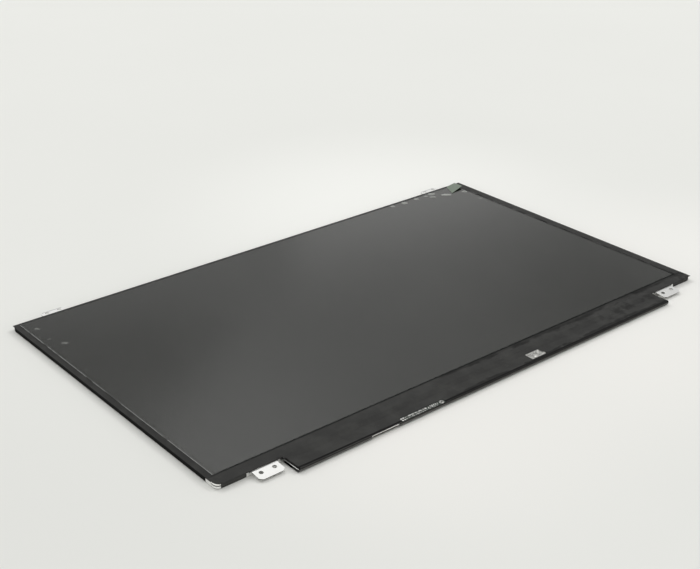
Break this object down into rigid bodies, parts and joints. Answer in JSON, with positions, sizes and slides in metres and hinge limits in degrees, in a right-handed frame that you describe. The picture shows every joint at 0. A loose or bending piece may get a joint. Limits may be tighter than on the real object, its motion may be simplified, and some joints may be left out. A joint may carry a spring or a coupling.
{
  "type": "laptop screen panel",
  "caption": "Slim flat laptop display module with a dark screen, black taped edges, a film-covered board strip along its lower edge and bright screw tabs.",
  "frame": {"origin": "under the middle of the whole outline, tabs and board strip included, on the rear face", "axes": "+X along the screen to its right, +Y to its upper edge, +Z out of the screen"},
  "size_m": [0.3594, 0.2274, 0.0046],
  "materials": {
    "tray_metal": "bright rolled sheet",
    "white_plastic": "moulded, white",
    "black_tape": "black adhesive tape, satin",
    "cover_film": "black polyester film, satin",
    "clear_film": "clear film, satin",
    "pull_film": "grey-green film",
    "polariser": "dark anti-glare film",
    "cell_glass": "display glass",
    "white_sheet": "white optical film",
    "clear_plate": "clear acrylic",
    "flex_film": "amber flexible circuit",
    "board_laminate": "coated circuit board",
    "tin": "tinned copper",
    "chip_black": "moulded chip package",
    "ferrite": "grey ferrite",
    "capacitor_ceramic": "tan ceramic",
    "emitter": "white package with yellow window",
    "connector_plastic": "ivory moulding",
    "connector_black": "black moulding",
    "shell_metal": "plated sheet",
    "sticker_paper": "bare paper sticker"
  },
  "bodies": {
    "root": {"rear_tray": "tray_metal", "mould_frame": "white_plastic", "left_edge_tape": "black_tape", "right_edge_tape": "black_tape", "top_edge_tape": "black_tape", "rim_tape": "black_tape", "board_cover_film": "cover_film", "protective_film": "clear_film", "pull_tab": "pull_film", "front_polariser": "polariser", "rear_polariser": "polariser", "colour_filter_glass": "cell_glass", "array_glass": "cell_glass", "upper_prism_sheet": "white_sheet", "lower_prism_sheet": "white_sheet", "diffuser_sheet": "white_sheet", "reflector_sheet": "white_sheet", "light_guide": "clear_plate", "led_flex": "flex_film", "light_emitters": "emitter", "control_board": "board_laminate", "edge_pads": "tin", "board_sticker": "sticker_paper", "timing_controller": "chip_black", "memory_chip": "chip_black", "level_shifter": "chip_black", "power_regulator": "chip_black", "backlight_driver": "chip_black", "boost_diode": "chip_black", "inlet_fuse": "capacitor_ceramic", "step_down_inductor": "ferrite", "boost_inductor": "ferrite", "chip_capacitors": "capacitor_ceramic", "chip_resistors": "chip_black", "video_connector_housing": "connector_plastic", "video_connector_shell": "shell_metal", "video_connector_contacts": "tin", "tail_connector_body": "connector_plastic", "tail_connector_latch": "connector_black", "driver_film_1": "flex_film", "driver_chip_1": "chip_black", "driver_film_2": "flex_film", "driver_chip_2": "chip_black", "driver_film_3": "flex_film", "driver_chip_3": "chip_black", "driver_film_4": "flex_film", "driver_chip_4": "chip_black"}
  },
  "joints": []
}
